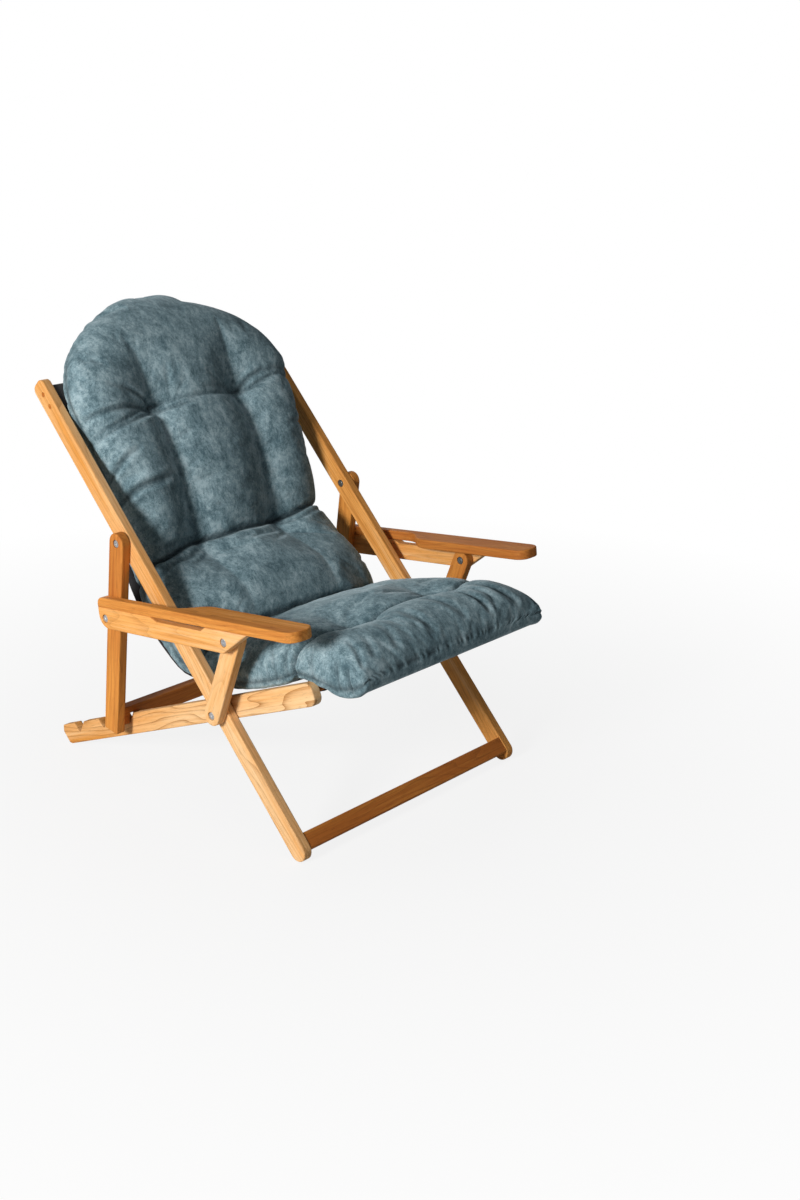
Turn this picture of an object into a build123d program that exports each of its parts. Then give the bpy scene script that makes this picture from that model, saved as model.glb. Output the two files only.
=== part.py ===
"""Reclining folding armchair: two crossed wooden frames, a hanging fabric sling and a tufted mattress cushion.

X is across the chair, with X = 0 on its middle plane and -X on the sitter's right. -Y is the front. Z = 0 is the floor.
Each side is four layers of planks. From the inside out they are the seat rail, the back rail, the prop post with the
arm strut, and the arm plate with the arm board on it. All lengths are millimetres and all angles are degrees.
"""

import os
from math import acos, atan2, cos, hypot, radians, sin, sqrt

from build123d import *

# Planks and layers
wood_thickness = 20.0
washer_gap = 1.0
clear_width = 535.0
edge_round = 2.5
running_clearance = 0.05
overrun = 1.0

# Main pivot, where the back rails cross the seat rails
pivot_height = 241.0
pivot_setback = -126.62
back_angle = 46.9
seat_slope = 22.4

# Back frame, measured up the back rail from the main pivot
back_rail_width = 40.5
back_rail_past_top_bar = 44.0
back_rail_top_round = 14.0
prop_pivot_distance = 390.0
top_bar_distance = 726.0
top_bar_width = 50.0
top_bar_offset = 2.0
screw_pitch = 29.0
foot_bar_width = 34.0
foot_bar_drop = 8.0
foot_bar_setback = 1.5

# Seat frame, measured along the seat rail from the main pivot, positive to the rear
seat_rail_depth = 44.0
seat_rail_rise = 2.7
seat_rail_front = 257.0
seat_rail_front_round = 17.0
seat_rail_past_floor = 11.4
seat_rail_rear_lean = 6.0
seat_rail_heel = 14.0
floor_flat = 7.0
seat_bar_width = 38.0
seat_bar_setback = 8.0
seat_bar_drop = 2.7
notch_first = 345.0
notch_pitch = 97.0
notch_count = 3
notch_depth = 20.0
notch_floor_front = 2.0
notch_floor_rear = 4.0
notch_mouth_front = 25.0
notch_mouth_rear = 13.0

# Prop frame, measured down the post from its pivot on the back rail
post_width = 42.0
post_length = 421.0
post_end_round = 5.0
post_angle = 51.2
arm_rear_distance = 156.0
prop_bar_top = 372.0
prop_bar_depth = 42.0
prop_bar_round = 6.0
saddle_clearance = 1.8

# Arm struts and arms, measured forward from the arm's rear bolt
strut_width = 40.0
strut_length = 186.0
arm_front_distance = 360.0
arm_below = 21.0
arm_above = 22.5
arm_rear_overhang = 20.0
arm_rear_round = 28.0
arm_board_rear_round = 15.0
arm_board_thickness = 20.0
arm_board_length = 569.0
arm_board_inner = 289.5
arm_board_flare_start = 215.0
arm_board_flare_length = 42.0
arm_board_flare_round = 55.0
arm_board_front_round = 24.0
arm_nose_setback = 3.0
arm_nose_length = 70.0
slot_start = 145.0
slot_length = 165.0
slot_height = 8.0
slot_rear_slant = 20.0
slot_front_slant = 13.0

# Pivot bolts, which sit sunk in both faces, with their nuts and washers
bolt_radius = 4.0
head_radius = 7.5
head_height = 3.5
head_round = 1.0
sink_radius = 8.5
sink_depth = 4.5
socket_width = 5.0
socket_depth = 2.4
nut_height = 4.0
washer_radius = 11.0

# Dowels, screws and plugs
dowel_radius = 4.0
dowel_in_plank = 12.0
dowel_in_bar = 20.0
dowel_gap = 0.5
arm_dowel_radius = 3.0
arm_dowel_depth = 14.0
arm_dowel_places = (40.0, 115.0, 345.0)
screw_radius = 2.5
screw_head_radius = 4.5
screw_head_height = 3.0
screw_in_bar = 35.0
plug_radius = 5.0
plug_depth = 5.0
fit_gap = 0.05

# Sling
cloth_thickness = 2.0
cloth_clearance = 0.4
sling_side_gap = 5.5
top_hem_end_gap = 4.5
seat_hem_end_gap = 12.5

# Mattress cushion, in a seat half and a back half that meet in the crease
cushion_thickness = 105.0
cushion_side_gap = 4.5
cushion_clearance = 1.3
nose_reach = 116.0
head_rise = 169.0
sling_sag = 130.0
column_offset = 110.0
channel_depth = 15.0
crease_gap = 0.3
button_radius = 8.0
button_height = 4.0
button_gap = 0.3

back = radians(back_angle)
slope = radians(seat_slope)
half_rail = back_rail_width / 2
back_rail_reach = top_bar_distance + back_rail_past_top_bar
back_reach = top_bar_distance + head_rise
arm_nose_start = arm_front_distance - arm_nose_setback
cushion_half_width = clear_width / 2 - cushion_side_gap
hem_depth = cloth_clearance + cloth_thickness
half_wood = wood_thickness / 2
bolt_hole = bolt_radius + running_clearance
sides = {"right": -1, "left": 1}
os.makedirs("parts", exist_ok=True)


def layer_inner(layer):
    """Distance from the middle plane to the inner face of a layer: 0 is the seat rail and 3 is the arm plate."""
    return clear_width / 2 + layer * (wood_thickness + washer_gap)


def layer_outer(layer):
    return layer_inner(layer) + wood_thickness


def layer_centre(layer):
    return layer_inner(layer) + half_wood


def side_point(frame, along, up):
    """The (y, z) place of a point that is given along a frame's direction and at a right angle to it."""
    (y, z), angle = frame
    return (y + along * cos(angle) - up * sin(angle), z + along * sin(angle) + up * cos(angle))


def side_plane(x, frame):
    """A plane parallel to the sides, whose local X runs along the frame's direction and local Y up from it."""
    (y, z), angle = frame
    return Plane(origin=(x, y, z), x_dir=(0, cos(angle), sin(angle)), z_dir=(1, 0, 0))


# Frames of reference: a (y, z) pivot and a direction, from the front view of the chair's right side
main_pivot = (pivot_setback, pivot_height)
back_frame = (main_pivot, back)
seat_frame = (main_pivot, -slope)
prop_pivot = side_point(back_frame, prop_pivot_distance, 0)
post_frame = (prop_pivot, back + radians(180 + post_angle))
rear_pivot = side_point(post_frame, arm_rear_distance, 0)
rear_run = hypot(rear_pivot[0] - main_pivot[0], rear_pivot[1] - main_pivot[1])
rear_direction = atan2(rear_pivot[1] - main_pivot[1], rear_pivot[0] - main_pivot[0])
strut_corner = acos((strut_length**2 + rear_run**2 - arm_front_distance**2) / (2 * strut_length * rear_run))
strut_frame = (main_pivot, rear_direction + strut_corner)
front_pivot = side_point(strut_frame, strut_length, 0)
arm_rise = atan2(front_pivot[1] - rear_pivot[1], rear_pivot[0] - front_pivot[0])


def arm_plane(x):
    """A plane parallel to the sides, whose local X runs forward along the arm and local Y up from it."""
    return Plane(
        origin=(x, rear_pivot[0], rear_pivot[1]), x_dir=(0, -cos(arm_rise), sin(arm_rise)), z_dir=(-1, 0, 0)
    )


def arm_point(along, up):
    """The (y, z) place of a point on the arm."""
    return (
        rear_pivot[0] - along * cos(arm_rise) + up * sin(arm_rise),
        rear_pivot[1] + along * sin(arm_rise) + up * cos(arm_rise),
    )


def finish(name, part):
    """Name a finished piece and write it."""
    part.label = name
    export_step(part, f"parts/{name}.step")


def finish_group(name, pieces):
    """Write several like solids as one sub-part."""
    finish(name, Compound(children=pieces))


def face_edges(part):
    """The long edges of a plank: the outlines of its inner and outer faces."""
    groups = part.edges().group_by(Axis.X)
    return groups[0] + groups[-1]


def pegs(plane, places, radius, depth):
    """Round pegs that start on a plane and run along its normal. They serve as dowels and as the holes for them."""
    with BuildPart() as made:
        with BuildSketch(plane):
            with Locations(*places):
                Circle(radius)
        extrude(amount=depth)
    return made.part


def facing(x, side, place):
    """A plane at a pivot, on a face at the distance x from the middle plane, that looks outwards."""
    return Plane(origin=(side * x, place[0], place[1]), x_dir=(0, 1, 0), z_dir=(side, 0, 0))


def pivot_bolt(side, x_face, length, place):
    """A bolt whose head is sunk under the face at x_face, with a hexagonal socket. The shank runs inwards."""
    seat = facing(x_face - sink_depth, side, place)
    with BuildPart() as made:
        with BuildSketch(seat):
            Circle(head_radius)
        extrude(amount=head_height)
        fillet(made.edges().filter_by(GeomType.CIRCLE).sort_by(Axis.X)[-1 if side > 0 else 0], head_round)
        with BuildSketch(seat.offset(head_height)):
            RegularPolygon(socket_width / 2, 6, major_radius=False)
        extrude(amount=-socket_depth, mode=Mode.SUBTRACT)
        with BuildSketch(seat):
            Circle(bolt_radius)
        extrude(amount=-length)
    return made.part


def ring(plane, height, outer, inner):
    """A washer or a round nut that starts on a plane and grows along its normal."""
    with BuildPart() as made:
        with BuildSketch(plane):
            Circle(outer)
            Circle(inner, mode=Mode.SUBTRACT)
        extrude(amount=height)
    return made.part


def pivot_nut(side, x_face, place):
    """A round nut, sunk under the inner face at x_face."""
    return ring(facing(x_face + sink_depth - nut_height, side, place), nut_height, head_radius, bolt_hole)


def pivot_washer(side, layer, place):
    """The washer that keeps a layer apart from the next one out."""
    return ring(facing(layer_outer(layer), side, place), washer_gap, washer_radius, bolt_hole)


def outer_sink(side, layer, place):
    """The hole for a bolt's head, in the outer face of a layer."""
    return pegs(facing(layer_outer(layer) - sink_depth, side, place), [(0, 0)], sink_radius, sink_depth + overrun)


def inner_sink(side, layer, place):
    """The hole for a nut, in the inner face of a layer."""
    return pegs(facing(layer_inner(layer) - overrun, side, place), [(0, 0)], sink_radius, sink_depth + overrun)


def bolt_length(outer_layer, inner_layer):
    """Shank length from the sunk head in one layer's outer face to the sunk nut in another's inner face."""
    return layer_outer(outer_layer) - layer_inner(inner_layer) - sink_depth - fit_gap


# Bars between the sides: where each one's section lies in its frame, as (lowest, highest) along and up
seat_top = seat_rail_rise + seat_rail_depth / 2
seat_bottom = seat_rail_rise - seat_rail_depth / 2
foot_centre = -(pivot_height - half_rail) / sin(back)
foot_bar_low = foot_centre - foot_bar_drop
foot_bar_front = half_rail - foot_bar_setback
seat_bar_low = seat_bar_setback - seat_rail_front
seat_bar_high = seat_top - seat_bar_drop
top_bar = (
    (top_bar_distance - top_bar_width / 2, top_bar_distance + top_bar_width / 2),
    (top_bar_offset - half_wood, top_bar_offset + half_wood),
)
foot_bar = ((foot_bar_low, foot_bar_low + foot_bar_width), (foot_bar_front - wood_thickness, foot_bar_front))
seat_bar = ((seat_bar_low, seat_bar_low + seat_bar_width), (seat_bar_high - wood_thickness, seat_bar_high))
prop_bar = ((prop_bar_top, prop_bar_top + prop_bar_depth), (-half_wood, half_wood))


def middle(section):
    (low, high), (bottom, top) = section
    return ((low + high) / 2, (bottom + top) / 2)


def dowel_places(section):
    """Two places, a quarter of the bar's width in from each edge."""
    (low, high), _ = section
    along, up = middle(section)
    reach = (high - low) / 4
    return [(along - reach, up), (along + reach, up)]


def bar_blank(frame, section, half_length):
    """A flat bar between two planks, with rounded edges."""
    (low, high), (bottom, top) = section
    with BuildPart() as blank:
        with BuildSketch(side_plane(0, frame)):
            with Locations(middle(section)):
                Rectangle(high - low, top - bottom)
        extrude(amount=half_length, both=True)
        fillet(blank.edges().filter_by(Axis.X), edge_round)
    return blank.part


def outward(x, side, frame, start=0):
    """A plane at the distance x from the middle plane, in a frame, whose normal looks outwards on that side."""
    (y, z), angle = frame
    return Plane(origin=(side * x, y, z), x_dir=(0, cos(angle), sin(angle)), z_dir=(side, 0, 0))


def mirrored(places, side):
    """Places for a plane whose normal points to -X, where local Y runs the other way."""
    return [(along, side * up) for along, up in places]


def doweled_bar(name, frame, section, half_length):
    """A bar with two dowels in each end, written as two sub-parts. Returns the holes for the planks."""
    places = dowel_places(section)
    bar = bar_blank(frame, section, half_length)
    dowels = []
    holes = {}
    for hand, side in sides.items():
        spots = mirrored(places, side)
        inside = outward(half_length - dowel_in_bar, side, frame)
        reach = dowel_in_bar + dowel_in_plank
        dowels.append(pegs(inside, spots, dowel_radius, reach))
        holes[hand] = pegs(inside.offset(-dowel_gap), spots, dowel_radius + fit_gap, reach + 2 * dowel_gap)
    with BuildPart() as drilled:
        add(bar)
        for hole in holes.values():
            add(hole, mode=Mode.SUBTRACT)
    finish(name, drilled.part)
    finish_group(f"{name}_dowels", dowels)
    return holes


seat_bar_holes = doweled_bar("seat_crossbar", seat_frame, seat_bar, layer_inner(0))
foot_bar_holes = doweled_bar("foot_crossbar", back_frame, foot_bar, layer_inner(1))

# Top crossbar, screwed through the back rails, with wooden plugs over the screws
along, up = middle(top_bar)
screw_places = [(along - screw_pitch / 2, up), (along + screw_pitch / 2, up)]
screw_holes = {}
screws = []
plugs = []
for hand, side in sides.items():
    spots = mirrored(screw_places, side)
    shank_start = outward(layer_inner(1) - screw_in_bar, side, back_frame)
    head_start = outward(layer_outer(1) - plug_depth - screw_head_height, side, back_frame)
    plug_start = outward(layer_outer(1) - plug_depth, side, back_frame)
    shank_length = screw_in_bar + wood_thickness - plug_depth - screw_head_height
    with BuildPart() as screw:
        add(pegs(shank_start, spots, screw_radius, shank_length))
        add(pegs(head_start, spots, screw_head_radius, screw_head_height))
    screws.append(screw.part)
    plugs.append(pegs(plug_start, spots, plug_radius, plug_depth))
    with BuildPart() as hole:
        add(pegs(shank_start.offset(-dowel_gap), spots, screw_radius + fit_gap, shank_length + 2 * dowel_gap))
        add(pegs(head_start, spots, plug_radius + fit_gap, screw_head_height + plug_depth + overrun))
    screw_holes[hand] = hole.part
with BuildPart() as top_crossbar:
    add(bar_blank(back_frame, top_bar, layer_inner(1)))
    for hole in screw_holes.values():
        add(hole, mode=Mode.SUBTRACT)
finish("top_crossbar", top_crossbar.part)
finish_group("top_crossbar_screws", screws)
finish_group("top_crossbar_plugs", plugs)

# Prop crossbar, with a saddle over each seat rail that clears the rail while the bar travels along it
prop_holes = {}
prop_dowels = []
prop_spots = dowel_places(prop_bar)
for hand, side in sides.items():
    spots = mirrored(prop_spots, side)
    inside = outward(layer_inner(2) - dowel_in_bar, side, post_frame)
    reach = dowel_in_bar + dowel_in_plank
    prop_dowels.append(pegs(inside, spots, dowel_radius, reach))
    prop_holes[hand] = pegs(inside.offset(-dowel_gap), spots, dowel_radius + fit_gap, reach + 2 * dowel_gap)
(prop_low, prop_high), (prop_front, prop_rear) = prop_bar
with BuildPart() as prop_crossbar:
    with BuildSketch(side_plane(0, post_frame)) as prop_section:
        with Locations(middle(prop_bar)):
            Rectangle(prop_bar_depth, wood_thickness)
        fillet(prop_section.vertices().group_by(Axis.X)[-1], prop_bar_round)
        fillet(prop_section.vertices().group_by(Axis.X)[0], edge_round)
    extrude(amount=layer_inner(2), both=True)
    for side in sides.values():
        add(prop_holes["right" if side < 0 else "left"], mode=Mode.SUBTRACT)
        with BuildSketch(side_plane(side * layer_centre(0), seat_frame)):
            with Locations((notch_first, seat_top + saddle_clearance - notch_pitch / 2)):
                Rectangle(notch_pitch, notch_pitch)
        extrude(amount=half_wood + saddle_clearance, both=True, mode=Mode.SUBTRACT)
finish("prop_crossbar", prop_crossbar.part)
finish_group("prop_crossbar_dowels", prop_dowels)


# Seat rails, with the notches that set the recline
def notch_points(place):
    """One notch in the top edge of the seat rail, from its front to its rear."""
    return [
        (place - notch_mouth_front, seat_top),
        (place - notch_floor_front, seat_top - notch_depth),
        (place + notch_floor_rear, seat_top - notch_depth),
        (place + notch_mouth_rear, seat_top),
    ]


floor_start = (pivot_height + seat_bottom * cos(slope)) / sin(slope)
floor_end = floor_start + floor_flat
seat_rail_rear = floor_end + seat_rail_past_floor
floor_end_up = (floor_end * sin(slope) - pivot_height) / cos(slope)
seat_outline = [(-seat_rail_front, seat_bottom), (-seat_rail_front, seat_top)]
for notch in range(notch_count):
    seat_outline += notch_points(notch_first + notch * notch_pitch)
seat_outline += [
    (seat_rail_rear - seat_rail_rear_lean, seat_top),
    (seat_rail_rear, seat_top - seat_rail_heel),
    (floor_end, floor_end_up),
    (floor_start, seat_bottom),
]
for hand, side in sides.items():
    nut_hole = inner_sink(side, 0, main_pivot)
    rail_plane = side_plane(side * layer_centre(0), seat_frame)
    with BuildPart() as seat_rail:
        with BuildSketch(rail_plane) as rail_face:
            with BuildLine():
                Polyline(*seat_outline, close=True)
            make_face()
            fillet(rail_face.vertices().group_by(Axis.X)[0], seat_rail_front_round)
        extrude(amount=half_wood, both=True)
        fillet(face_edges(seat_rail), edge_round)
        with Locations(rail_plane):
            Hole(bolt_hole)
        add(nut_hole, mode=Mode.SUBTRACT)
        add(seat_bar_holes[hand], mode=Mode.SUBTRACT)
    finish(f"seat_rail_{hand}", seat_rail.part)

# Back rails, with a fully rounded foot
for hand, side in sides.items():
    nut_hole = inner_sink(side, 1, prop_pivot)
    rail_plane = side_plane(side * layer_centre(1), back_frame)
    with BuildPart() as back_rail:
        with BuildSketch(rail_plane) as rail_face:
            with Locations(((back_rail_reach + foot_centre) / 2, 0)):
                Rectangle(back_rail_reach - foot_centre, back_rail_width)
            fillet(rail_face.vertices().group_by(Axis.X)[-1], back_rail_top_round)
            with Locations((foot_centre, 0)):
                Circle(half_rail)
        extrude(amount=half_wood, both=True)
        fillet(face_edges(back_rail), edge_round)
        with Locations(rail_plane, rail_plane * Location((prop_pivot_distance, 0, 0))):
            Hole(bolt_hole)
        add(nut_hole, mode=Mode.SUBTRACT)
        add(foot_bar_holes[hand], mode=Mode.SUBTRACT)
        add(screw_holes[hand], mode=Mode.SUBTRACT)
    finish(f"back_rail_{hand}", back_rail.part)

# Prop posts
for hand, side in sides.items():
    head_hole = outer_sink(side, 2, prop_pivot)
    nut_hole = inner_sink(side, 2, rear_pivot)
    post_plane = side_plane(side * layer_centre(2), post_frame)
    with BuildPart() as post:
        with BuildSketch(post_plane) as post_face:
            with Locations((post_length / 2, 0)):
                Rectangle(post_length, post_width)
            fillet(post_face.vertices().group_by(Axis.X)[-1], post_end_round)
            Circle(post_width / 2)
        extrude(amount=half_wood, both=True)
        fillet(face_edges(post), edge_round)
        with Locations(post_plane, post_plane * Location((arm_rear_distance, 0, 0))):
            Hole(bolt_hole)
        add(head_hole, mode=Mode.SUBTRACT)
        add(nut_hole, mode=Mode.SUBTRACT)
        add(prop_holes[hand], mode=Mode.SUBTRACT)
    finish(f"prop_post_{hand}", post.part)

# Arm struts
for hand, side in sides.items():
    head_hole = outer_sink(side, 2, main_pivot)
    nut_hole = inner_sink(side, 2, front_pivot)
    strut_plane = side_plane(side * layer_centre(2), strut_frame)
    with BuildPart() as strut:
        with BuildSketch(strut_plane):
            with Locations((strut_length / 2, 0)):
                SlotCenterToCenter(strut_length, strut_width)
        extrude(amount=half_wood, both=True)
        fillet(face_edges(strut), edge_round)
        with Locations(strut_plane, strut_plane * Location((strut_length, 0, 0))):
            Hole(bolt_hole)
        add(head_hole, mode=Mode.SUBTRACT)
        add(nut_hole, mode=Mode.SUBTRACT)
    finish(f"arm_strut_{hand}", strut.part)

# Arm plates, with a hand slot under the board and a slanted nose
slot_end = slot_start + slot_length
plate_outline = [
    (-arm_rear_overhang, -arm_below),
    (-arm_rear_overhang, arm_above),
    (slot_start, arm_above),
    (slot_start + slot_rear_slant, arm_above - slot_height),
    (slot_end - slot_front_slant, arm_above - slot_height),
    (slot_end, arm_above),
    (arm_nose_start + arm_nose_length, arm_above),
    (arm_nose_start, -arm_below),
]
board_underside = Plane(
    origin=(0, *arm_point(0, arm_above)), x_dir=(0, -cos(arm_rise), sin(arm_rise)), z_dir=(0, sin(arm_rise), cos(arm_rise))
)
for hand, side in sides.items():
    arm_spots = [(place, side * layer_centre(3)) for place in arm_dowel_places]
    arm_dowels = pegs(board_underside.offset(-arm_dowel_depth), arm_spots, arm_dowel_radius, 2 * arm_dowel_depth)
    arm_holes = pegs(
        board_underside.offset(-arm_dowel_depth - dowel_gap),
        arm_spots,
        arm_dowel_radius + fit_gap,
        2 * (arm_dowel_depth + dowel_gap),
    )
    rear_hole = outer_sink(side, 3, rear_pivot)
    front_hole = outer_sink(side, 3, front_pivot)
    plate_plane = arm_plane(side * layer_centre(3))
    with BuildPart() as plate:
        with BuildSketch(plate_plane) as plate_face:
            with BuildLine():
                Polyline(*plate_outline, close=True)
            make_face()
            rear_corner = plate_face.vertices().sort_by_distance((-arm_rear_overhang, -arm_below))[0]
            fillet(rear_corner, arm_rear_round)
        extrude(amount=half_wood, both=True)
        fillet(face_edges(plate), edge_round)
        with Locations(plate_plane, plate_plane * Location((arm_front_distance, 0, 0))):
            Hole(bolt_hole)
        add(rear_hole, mode=Mode.SUBTRACT)
        add(front_hole, mode=Mode.SUBTRACT)
        add(arm_holes, mode=Mode.SUBTRACT)
    finish(f"arm_plate_{hand}", plate.part)
    finish(f"arm_dowels_{hand}", arm_dowels)

    # The board is as narrow as the plate at the rear and widens inwards in front of the back rail
    board_front = arm_board_length - arm_rear_overhang
    flare_end = arm_board_flare_start + arm_board_flare_length
    with BuildPart() as board:
        with BuildSketch(board_underside) as board_face:
            with BuildLine():
                Polyline(
                    (-arm_rear_overhang, side * layer_outer(3)),
                    (board_front, side * layer_outer(3)),
                    (board_front, side * arm_board_inner),
                    (flare_end, side * arm_board_inner),
                    (arm_board_flare_start, side * layer_inner(3)),
                    (-arm_rear_overhang, side * layer_inner(3)),
                    close=True,
                )
            make_face()
            for place in ((flare_end, side * arm_board_inner), (arm_board_flare_start, side * layer_inner(3))):
                fillet(board_face.vertices().sort_by_distance(place)[0], arm_board_flare_round)
            fillet(board_face.vertices().group_by(Axis.X)[-1], arm_board_front_round)
        extrude(amount=arm_board_thickness)
        rear_edges = board.edges().filter_by(Axis.X).group_by(Axis.Y)[-1]
        fillet(rear_edges.sort_by(Axis.Z)[-1], arm_board_rear_round)
        fillet(board.faces().sort_by(Axis.Z)[-1].edges(), edge_round)
        add(arm_holes, mode=Mode.SUBTRACT)
    finish(f"arm_board_{hand}", board.part)

    arm_bolts = [
        pivot_bolt(side, layer_outer(3), wood_thickness - sink_depth - fit_gap, rear_pivot),
        pivot_bolt(side, layer_outer(3), bolt_length(3, 2), front_pivot),
    ]
    finish_group(f"arm_bolts_{hand}", arm_bolts)
    finish_group(f"arm_washers_{hand}", [pivot_washer(side, 2, place) for place in (rear_pivot, front_pivot)])
    finish(f"arm_front_nut_{hand}", pivot_nut(side, layer_inner(2), front_pivot))

# Fasteners of the main and prop pivots
hands = list(sides.values())
finish_group("main_bolts", [pivot_bolt(s, layer_outer(2), bolt_length(2, 0), main_pivot) for s in hands])
finish_group("main_nuts", [pivot_nut(s, layer_inner(0), main_pivot) for s in hands])
finish_group("main_washers", [pivot_washer(s, layer, main_pivot) for s in hands for layer in (0, 1)])
finish_group("prop_bolts", [pivot_bolt(s, layer_outer(2), bolt_length(2, 1), prop_pivot) for s in hands])
finish_group("prop_nuts", [pivot_nut(s, layer_inner(1), prop_pivot) for s in hands])
finish_group("prop_washers", [pivot_washer(s, 1, prop_pivot) for s in hands])
finish_group("arm_rear_nuts", [pivot_nut(s, layer_inner(2), rear_pivot) for s in hands])

# Stations of the mattress. Each one is a section across the cushion: how far its lower edge lies along the frame and
# up from it, the lean of its height towards the rear or the top, its height, and its half width.
# Along and up, the seat's and the nose's are shares of seat_bar_middle or nose_reach and of cushion_thickness, above
# the seat crossbar. The hanging part's are of hang_reach and sling_sag, and the head's of head_reach and
# cushion_thickness, above the top crossbar. The last two are of cushion_thickness and cushion_half_width.
# A pair of buttons sits on each station that ends in True.
seat_shares = [
    (0.365, 0.316, -25.4, 0.75, 0.990, False),
    (0.052, 0.154, -12.5, 1.05, 1.000, False),
    (-0.292, 0.059, -9.4, 1.05, 1.000, False),
    (-0.695, 0.021, -2.9, 0.95, 0.995, False),
    (-1.023, 0.000, 3.8, 0.62, 0.975, True),
]
nose_shares = [
    (-0.088, 0.000, -2.3, 0.80, 0.985, False),
    (-0.176, -0.211, -12.2, 1.00, 0.985, False),
    (-0.440, -0.391, -10.2, 0.97, 0.980, False),
    (-0.742, -0.391, -10.8, 0.66, 0.970, False),
    (-0.940, -0.221, -14.0, 0.24, 0.950, False),
]
hang_shares = [
    (0.198, -0.800, 25.5, 1.08, 0.995, False),
    (0.367, -0.981, 6.9, 1.08, 0.985, False),
    (0.459, -0.938, 6.6, 0.85, 0.970, False),
    (0.534, -0.835, 2.5, 0.58, 0.950, True),
    (0.631, -0.623, -10.5, 0.82, 0.945, False),
    (0.746, -0.377, -11.4, 0.97, 0.945, False),
    (0.854, -0.169, -9.0, 0.92, 0.970, False),
    (0.925, -0.062, -6.0, 0.60, 0.985, True),
]
head_shares = [
    (0.000, 0.000, -3.0, 0.76, 1.020, False),
    (0.317, 0.000, 1.3, 0.86, 1.025, False),
    (0.647, 0.000, 5.0, 0.74, 0.810, False),
    (0.864, 0.042, 10.0, 0.46, 0.520, False),
    (0.955, 0.137, 20.0, 0.17, 0.290, False),
]
side_inset_share = 0.16
side_middle_share = 0.40
side_top_share = 0.78


def station_rows(frame, start, reach, rest, unit_up, table):
    """Sections for a table of shares, as place, direction of height, height, half width and whether it is tufted.

    start is where the table's along counts from, and rest the height that its up counts from.
    """
    rows = []
    for along_share, up_share, lean, height_share, width_share, tufted in table:
        place = side_point(frame, start + along_share * reach, rest + up_share * unit_up)
        rise = frame[1] + radians(90 - lean)
        rows.append((place, rise, height_share * cushion_thickness, width_share * cushion_half_width, tufted))
    return rows


def section_plane(place, rise):
    return Plane(origin=(0, *place), x_dir=(1, 0, 0), z_dir=(0, -sin(rise), cos(rise)))


def cushion_loft(stations):
    """A padded form with three crowned columns, a flat underside and bulging sides, through its stations."""
    with BuildPart() as padded:
        for place, rise, height, half_width, _ in stations:
            inset = side_inset_share * height
            corner = half_width - inset
            column = column_offset * half_width / cushion_half_width
            lobe = (corner + column) / 2
            valley = height - channel_depth * height / cushion_thickness
            shoulder = side_top_share * height
            with BuildSketch(section_plane(place, rise)):
                with BuildLine():
                    Line((-corner, 0), (corner, 0))
                    ThreePointArc((corner, 0), (half_width, side_middle_share * height), (corner, shoulder))
                    ThreePointArc((corner, shoulder), (lobe, height), (column, valley))
                    ThreePointArc((column, valley), (0, height), (-column, valley))
                    ThreePointArc((-column, valley), (-lobe, height), (-corner, shoulder))
                    ThreePointArc((-corner, shoulder), (-half_width, side_middle_share * height), (-corner, 0))
                make_face()
        loft(ruled=True)
    return padded.part


def tuft_places(row):
    """Where a row's two buttons sit: planes in the valleys between the columns, facing out of the cushion."""
    place, rise, height, half_width, _ = row
    column = column_offset * half_width / cushion_half_width
    valley = height - channel_depth * height / cushion_thickness
    top = (place[0] + valley * cos(rise), place[1] + valley * sin(rise))
    return [
        Plane(origin=(side * column, *top), x_dir=(1, 0, 0), z_dir=(0, cos(rise), sin(rise)))
        for side in sides.values()
    ]


def write_cushion(name, stations):
    """Write a half of the mattress, with a dimple at each tuft, and its buttons."""
    tufts = [plane for row in stations if row[-1] for plane in tuft_places(row)]
    dimples = [
        pegs(plane.offset(-button_height - button_gap), [(0, 0)], button_radius + button_gap, cushion_thickness)
        for plane in tufts
    ]
    buttons = [pegs(plane.offset(-button_height), [(0, 0)], button_radius, button_height) for plane in tufts]
    with BuildPart() as cushion:
        add(cushion_loft(stations))
        for dimple in dimples:
            add(dimple, mode=Mode.SUBTRACT)
    finish(name, cushion.part)
    finish_group(f"{name}_buttons", buttons)


(seat_bar_front, seat_bar_rear), (_, seat_bar_top) = seat_bar
seat_bar_middle = -(seat_bar_front + seat_bar_rear) / 2
seat_rest = seat_bar_top + hem_depth + cushion_clearance
seat_stations = station_rows(seat_frame, 0, seat_bar_middle, seat_rest, cushion_thickness, seat_shares)
seat_stations += station_rows(seat_frame, seat_bar_front, nose_reach, seat_rest, cushion_thickness, nose_shares)
crease_place, crease_rise, crease_height, crease_width, _ = seat_stations[0]
past_crease = (
    crease_place[0] + crease_gap * sin(crease_rise),
    crease_place[1] - crease_gap * cos(crease_rise),
)
(top_bar_low, _), (top_bar_rear, top_bar_front) = top_bar
hang_reach = top_bar_low - hem_depth - cushion_clearance
head_reach = back_reach - hang_reach
head_rest = top_bar_front + hem_depth + cushion_clearance
hang_stations = station_rows(back_frame, 0, hang_reach, 0, sling_sag, hang_shares)
back_stations = [(past_crease, crease_rise, crease_height, crease_width, False)]
back_stations += hang_stations
back_stations += station_rows(back_frame, hang_reach, head_reach, head_rest, cushion_thickness, head_shares)
write_cushion("seat_cushion", seat_stations)
write_cushion("back_cushion", back_stations)


# Sling: a hem round the top crossbar, one hanging sheet, and a hem round the seat crossbar
def below(row, depth):
    """A (y, z) place under a station's lower edge."""
    place, rise, *_ = row
    return (place[0] - depth * cos(rise), place[1] - depth * sin(rise))


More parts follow.
